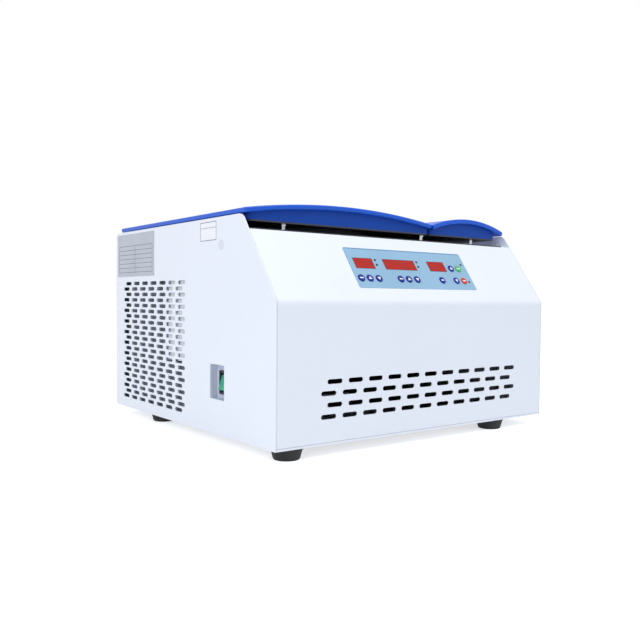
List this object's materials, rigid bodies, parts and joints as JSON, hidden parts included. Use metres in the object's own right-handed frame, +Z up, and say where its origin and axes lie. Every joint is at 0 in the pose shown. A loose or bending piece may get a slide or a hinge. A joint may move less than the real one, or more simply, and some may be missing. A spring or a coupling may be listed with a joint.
{
  "type": "benchtop centrifuge",
  "caption": "Low white refrigerated benchtop centrifuge with a sloped keypad front, a blue arched lid over the rotor chamber and a fixed blue side cover.",
  "frame": {"origin": "under the middle of the cabinet, at the level of the undersides of the feet", "axes": "+Z up, front panel facing -Y, +X to the right seen from the front"},
  "size_m": [0.6205, 0.592, 0.3948],
  "materials": {
    "cabinet_white": "fine textured powder coat",
    "deck_dark": "dark powder coat",
    "lid_blue": "blue moulded shell",
    "liner_white": "pale sheet",
    "black_rubber": "moulded rubber",
    "zinc_steel": "zinc plated",
    "bright_steel": "turned",
    "stainless": "spun stainless",
    "copper": "drawn copper tube",
    "foam": "rigid foam",
    "motor_grey": "painted casting",
    "black_enamel": "black enamel",
    "fin_aluminium": "finned block",
    "rotor_aluminium": "hard anodised",
    "black_plastic": "moulded",
    "green_plastic": "translucent rocker",
    "overlay_blue": "printed polyester film",
    "display_red": "red filter window",
    "module_black": "moulded",
    "board_green": "circuit board",
    "key_navy": "moulded key",
    "key_red": "moulded key",
    "key_green": "moulded key",
    "plug_grey": "moulded plug",
    "plate_silver": "bare plate"
  },
  "bodies": {
    "cabinet": {"base_pan": "cabinet_white", "left_side_panel": "cabinet_white", "right_side_panel": "cabinet_white", "front_panel": "cabinet_white", "rear_panel": "cabinet_white", "switch_pocket": "cabinet_white", "top_deck": "deck_dark", "side_cover": "lid_blue", "side_cover_plate": "liner_white", "feet": "black_rubber", "rubber_mounts": "black_rubber", "chamber_gaskets": "black_rubber", "screws": "zinc_steel", "motor_plate": "zinc_steel", "hinge_brackets": "zinc_steel", "lock_bodies": "zinc_steel", "bearings": "zinc_steel", "fan_shroud": "zinc_steel", "cover_posts": "bright_steel", "hinge_pins": "bright_steel", "temperature_probe": "bright_steel", "chamber_bowl": "stainless", "evaporator_coil": "copper", "refrigerant_pipes": "copper", "insulation_jacket": "foam", "motor_housing": "motor_grey", "compressor": "black_enamel", "fan_motor": "black_enamel", "condenser_core": "fin_aluminium", "switch_housing": "black_plastic", "power_inlet": "black_plastic", "keypad_overlay": "overlay_blue", "display_windows": "display_red", "display_modules": "module_black", "circuit_boards": "board_green", "release_plug": "plug_grey", "label_plates": "plate_silver"},
    "lid": {"lid_shell": "lid_blue", "lid_liner": "liner_white", "lid_seal": "black_rubber", "lid_hooks": "bright_steel", "hinge_leaves": "zinc_steel"},
    "rotor": {"rotor": "rotor_aluminium", "rotor_nut": "rotor_aluminium", "drive_spindle": "bright_steel"},
    "fan": {"fan_impeller": "black_plastic"},
    "rocker": {"power_rocker": "green_plastic"},
    "left_lock": {"left_lock_bolt": "bright_steel"},
    "right_lock": {"right_lock_bolt": "bright_steel"},
    "key1": {"key_1": "key_navy"},
    "key2": {"key_2": "key_navy"},
    "key3": {"key_3": "key_navy"},
    "key4": {"key_4": "key_navy"},
    "key5": {"key_5": "key_navy"},
    "key6": {"key_6": "key_navy"},
    "key7": {"key_7": "key_navy"},
    "key8": {"key_8": "key_navy"},
    "key9": {"key_9": "key_red"},
    "key10": {"key_10": "key_navy"},
    "key11": {"key_11": "key_green"}
  },
  "joints": [
    {"name": "lid_hinge", "type": "hinge", "parent": "cabinet", "child": "lid", "pos_m": [0, 0.284, 0.359], "axis": [-1, 0, 0], "range_deg": [0, 80]},
    {"name": "rotor_spin", "type": "hinge", "parent": "cabinet", "child": "rotor", "pos_m": [-0.105, -0.01, 0.2], "axis": [0, 0, 1], "continuous": true},
    {"name": "fan_spin", "type": "hinge", "parent": "cabinet", "child": "fan", "pos_m": [0.19, 0.25, 0.122], "axis": [0, 1, 0], "continuous": true},
    {"name": "rocker_tilt", "type": "hinge", "parent": "cabinet", "child": "rocker", "pos_m": [-0.292, -0.126, 0.1015], "axis": [0, -1, 0], "range_deg": [0, 18]},
    {"name": "left_lock_slide", "type": "slide", "parent": "cabinet", "child": "left_lock", "axis": [-1, 0, 0], "range_m": [0, 0.008], "stiffness_N_per_m": 60, "springref_m": -0.002},
    {"name": "right_lock_slide", "type": "slide", "parent": "cabinet", "child": "right_lock", "axis": [1, 0, 0], "range_m": [0, 0.008], "stiffness_N_per_m": 60, "springref_m": -0.002},
    {"name": "key_1_press", "type": "slide", "parent": "cabinet", "child": "key1", "axis": [0, 0.8178, -0.5755], "range_m": [0, 0.0005], "stiffness_N_per_m": 600, "springref_m": -0.0005},
    {"name": "key_2_press", "type": "slide", "parent": "cabinet", "child": "key2", "axis": [0, 0.8178, -0.5755], "range_m": [0, 0.0005], "stiffness_N_per_m": 600, "springref_m": -0.0005},
    {"name": "key_3_press", "type": "slide", "parent": "cabinet", "child": "key3", "axis": [0, 0.8178, -0.5755], "range_m": [0, 0.0005], "stiffness_N_per_m": 600, "springref_m": -0.0005},
    {"name": "key_4_press", "type": "slide", "parent": "cabinet", "child": "key4", "axis": [0, 0.8178, -0.5755], "range_m": [0, 0.0005], "stiffness_N_per_m": 600, "springref_m": -0.0005},
    {"name": "key_5_press", "type": "slide", "parent": "cabinet", "child": "key5", "axis": [0, 0.8178, -0.5755], "range_m": [0, 0.0005], "stiffness_N_per_m": 600, "springref_m": -0.0005},
    {"name": "key_6_press", "type": "slide", "parent": "cabinet", "child": "key6", "axis": [0, 0.8178, -0.5755], "range_m": [0, 0.0005], "stiffness_N_per_m": 600, "springref_m": -0.0005},
    {"name": "key_7_press", "type": "slide", "parent": "cabinet", "child": "key7", "axis": [0, 0.8178, -0.5755], "range_m": [0, 0.0005], "stiffness_N_per_m": 600, "springref_m": -0.0005},
    {"name": "key_8_press", "type": "slide", "parent": "cabinet", "child": "key8", "axis": [0, 0.8178, -0.5755], "range_m": [0, 0.0005], "stiffness_N_per_m": 600, "springref_m": -0.0005},
    {"name": "key_9_press", "type": "slide", "parent": "cabinet", "child": "key9", "axis": [0, 0.8178, -0.5755], "range_m": [0, 0.0005], "stiffness_N_per_m": 600, "springref_m": -0.0005},
    {"name": "key_10_press", "type": "slide", "parent": "cabinet", "child": "key10", "axis": [0, 0.8178, -0.5755], "range_m": [0, 0.0005], "stiffness_N_per_m": 600, "springref_m": -0.0005},
    {"name": "key_11_press", "type": "slide", "parent": "cabinet", "child": "key11", "axis": [0, 0.8178, -0.5755], "range_m": [0, 0.0005], "stiffness_N_per_m": 600, "springref_m": -0.0005}
  ],
  "couplings": [
    {"joint": "right_lock_slide", "follows": "left_lock_slide", "ratio": 1}
  ]
}
